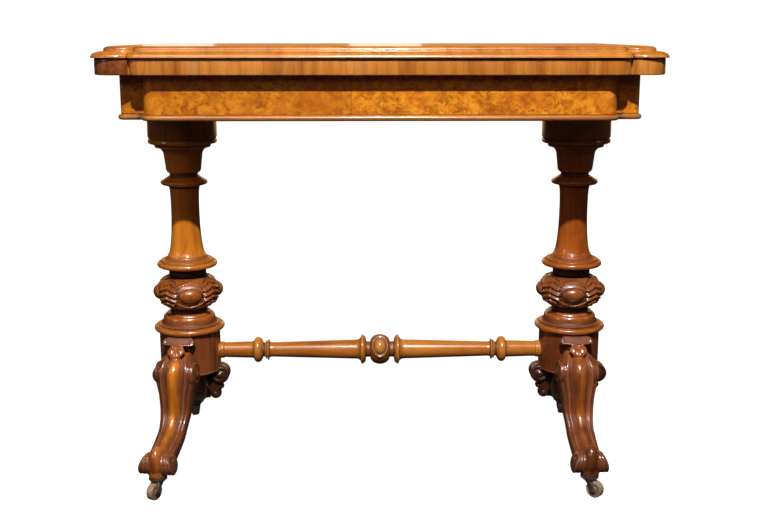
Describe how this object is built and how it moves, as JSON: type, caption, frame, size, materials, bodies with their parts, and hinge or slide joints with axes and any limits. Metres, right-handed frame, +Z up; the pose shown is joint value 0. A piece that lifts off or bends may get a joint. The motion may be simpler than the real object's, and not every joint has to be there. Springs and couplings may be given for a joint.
{
  "type": "fold-over card table",
  "caption": "Walnut card table with a fold-over swivel top, break-front frieze, twin turned columns on carved cabriole legs, a turned stretcher and small castors.",
  "frame": {"origin": "on the floor under the middle of the closed top", "axes": "+X along the width to the viewer's right, +Y from the shaped front to the hinged back, +Z up"},
  "size_m": [0.872, 0.446, 0.7243],
  "materials": {
    "burr_walnut": "figured veneer, gloss polish",
    "walnut": "gloss polish",
    "dark_walnut": "gloss polish",
    "pine": "bare, aged",
    "baize": "woven wool, napped",
    "brass": "aged",
    "iron": "dark, worn",
    "wheel_hardwood": "worn polish"
  },
  "bodies": {
    "frame": {"front_rail": "burr_walnut", "back_rail": "burr_walnut", "left_rail": "burr_walnut", "right_rail": "burr_walnut", "front_bead": "walnut", "back_bead": "walnut", "left_bead": "walnut", "right_bead": "walnut", "stretcher": "walnut", "left_base_collar": "walnut", "left_column_shaft": "walnut", "left_capital": "walnut", "left_carved_knop": "walnut", "left_drum": "dark_walnut", "left_outer_bracket": "dark_walnut", "left_inner_bracket": "dark_walnut", "left_column_bearer": "pine", "right_base_collar": "walnut", "right_column_shaft": "walnut", "right_capital": "walnut", "right_carved_knop": "walnut", "right_drum": "dark_walnut", "right_outer_bracket": "dark_walnut", "right_inner_bracket": "dark_walnut", "right_column_bearer": "pine", "well_floor": "pine", "pivot_bearer": "pine", "well_partition": "pine", "left_front_leg": "walnut", "left_front_castor_plate": "iron", "right_front_leg": "walnut", "right_front_castor_plate": "iron", "left_back_leg": "walnut", "left_back_castor_plate": "iron", "right_back_leg": "walnut", "right_back_castor_plate": "iron"},
    "swivel_top": {"lower_leaf": "walnut", "lower_baize": "baize", "left_hinge_lower_plate": "brass", "right_hinge_lower_plate": "brass", "left_hinge_pin": "brass", "right_hinge_pin": "brass", "pivot_plate": "iron", "pivot_bolt": "iron", "pivot_washer": "iron", "pivot_nut": "iron", "stop_peg": "walnut"},
    "folding_leaf": {"upper_leaf": "burr_walnut", "upper_baize": "baize", "left_hinge_upper_plate": "brass", "right_hinge_upper_plate": "brass"},
    "left_front_castor": {"left_front_castor_fork": "iron"},
    "left_front_roller": {"left_front_castor_wheel": "wheel_hardwood"},
    "right_front_castor": {"right_front_castor_fork": "iron"},
    "right_front_roller": {"right_front_castor_wheel": "wheel_hardwood"},
    "left_back_castor": {"left_back_castor_fork": "iron"},
    "left_back_roller": {"left_back_castor_wheel": "wheel_hardwood"},
    "right_back_castor": {"right_back_castor_fork": "iron"},
    "right_back_roller": {"right_back_castor_wheel": "wheel_hardwood"}
  },
  "joints": [
    {"name": "top_swivel", "type": "hinge", "parent": "frame", "child": "swivel_top", "pos_m": [0.11, 0.11, 0.682], "axis": [0, 0, 1], "range_deg": [0, 90]},
    {"name": "leaf_fold", "type": "hinge", "parent": "swivel_top", "child": "folding_leaf", "pos_m": [0, 0.22, 0.70695], "axis": [-1, 0, 0], "range_deg": [0, 180]},
    {"name": "left_front_castor_swivel", "type": "hinge", "parent": "frame", "child": "left_front_castor", "pos_m": [-0.36414, -0.18401, 0.03221], "axis": [0, 0, 1], "continuous": true},
    {"name": "left_front_castor_roll", "type": "hinge", "parent": "left_front_castor", "child": "left_front_roller", "pos_m": [-0.36931, -0.19372, 0.01401], "axis": [0.8829, -0.4695, 0], "continuous": true},
    {"name": "right_front_castor_swivel", "type": "hinge", "parent": "frame", "child": "right_front_castor", "pos_m": [0.3415, -0.18619, 0.03221], "axis": [0, 0, 1], "continuous": true},
    {"name": "right_front_castor_roll", "type": "hinge", "parent": "right_front_castor", "child": "right_front_roller", "pos_m": [0.34968, -0.19355, 0.01401], "axis": [0.6691, 0.7431, 0], "continuous": true},
    {"name": "left_back_castor_swivel", "type": "hinge", "parent": "frame", "child": "left_back_castor", "pos_m": [-0.36093, 0.18449, 0.03221], "axis": [0, 0, 1], "continuous": true},
    {"name": "left_back_castor_roll", "type": "hinge", "parent": "left_back_castor", "child": "left_back_roller", "pos_m": [-0.36558, 0.19446, 0.01401], "axis": [-0.9063, -0.4226, 0], "continuous": true},
    {"name": "right_back_castor_swivel", "type": "hinge", "parent": "frame", "child": "right_back_castor", "pos_m": [0.36093, 0.18449, 0.03221], "axis": [0, 0, 1], "continuous": true},
    {"name": "right_back_castor_roll", "type": "hinge", "parent": "right_back_castor", "child": "right_back_roller", "pos_m": [0.36469, 0.19482, 0.01401], "axis": [-0.9397, 0.342, 0], "continuous": true}
  ]
}
